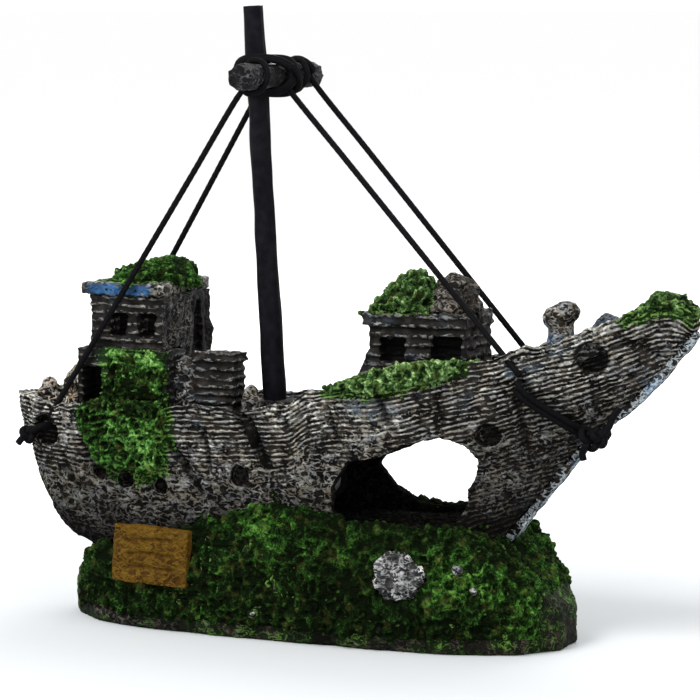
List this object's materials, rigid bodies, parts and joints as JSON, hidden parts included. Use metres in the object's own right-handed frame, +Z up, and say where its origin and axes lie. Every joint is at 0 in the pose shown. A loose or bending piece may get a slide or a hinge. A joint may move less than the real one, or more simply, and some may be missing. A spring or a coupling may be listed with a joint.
{
  "type": "aquarium shipwreck ornament",
  "caption": "Sunken wooden ship on a mossy rock mound, with a swim-through breach, a mast held by elastic stays and a hidden air diffuser",
  "frame": {"origin": "on the flat underside, below midships", "axes": "+X to the bow, +Z up, -Y the show side"},
  "size_m": [0.1435, 0.0474, 0.1251],
  "materials": {
    "painted_resin": "cast resin planks, dark brown wash with tan and grey dry brushing",
    "blue_grey_resin": "cast resin with worn pale blue-grey paint",
    "rock_resin": "cast resin rock, dark wash with grey dry brushing",
    "cream_resin": "cast resin rubble, cream dry brushing",
    "moss_flock": "glued green flock, dark in the hollows and bright on the tufts",
    "ochre_plate": "cast resin plate painted ochre, with a dark wash",
    "white_stone": "white stone with grey speckles",
    "black_stick": "black painted stick, satin",
    "charcoal_branch": "rough cast resin, charcoal grey",
    "elastic_cord": "round black braided elastic",
    "clear_glue": "whitish glossy glue",
    "spigot_plastic": "grey moulded plastic",
    "black_rubber": "soft black rubber",
    "porous_stone": "porous sintered stone, blue-grey"
  },
  "bodies": {
    "hull": {"base_rock": "rock_resin", "base_moss": "moss_flock", "sign_plate": "ochre_plate", "white_stone": "white_stone", "quartz_chips": "white_stone", "hull_shell": "painted_resin", "main_deck": "painted_resin", "stem_post": "blue_grey_resin", "stern_tower": "painted_resin", "tower_roof": "blue_grey_resin", "stern_deckhouse": "painted_resin", "step_block": "painted_resin", "fore_castle": "painted_resin", "castle_lump": "painted_resin", "mooring_post": "rock_resin", "deck_boulder": "rock_resin", "foredeck_stone": "rock_resin", "stern_rubble": "cream_resin", "tower_moss": "moss_flock", "castle_moss": "moss_flock", "bow_moss": "moss_flock", "rail_moss": "moss_flock", "stern_moss": "moss_flock", "mast_step": "painted_resin", "stay_aft_near": "elastic_cord", "stay_aft_far": "elastic_cord", "stay_fore_near": "elastic_cord", "stay_fore_far": "elastic_cord", "stem_lashing": "elastic_cord", "stem_knot": "elastic_cord", "stern_knot": "elastic_cord", "air_spigot": "spigot_plastic", "spigot_grommet": "black_rubber", "stone_bush": "black_rubber"},
    "mast": {"mast": "black_stick", "yard": "charcoal_branch", "yard_lashing_a": "elastic_cord", "yard_lashing_b": "elastic_cord", "lashing_glue": "clear_glue"},
    "air_stone": {"air_stone": "porous_stone"}
  },
  "joints": [
    {"name": "mast_lift", "type": "slide", "parent": "hull", "child": "mast", "axis": [-0.0593, 0, 0.9982], "range_m": [0, 0.008], "stiffness_N_per_m": 200, "springref_m": -0.003, "deforming": ["stay_aft_near", "stay_aft_far", "stay_fore_near", "stay_fore_far"]},
    {"name": "stone_pull", "type": "slide", "parent": "hull", "child": "air_stone", "axis": [0, -1, 0], "range_m": [0, 0.008]}
  ]
}
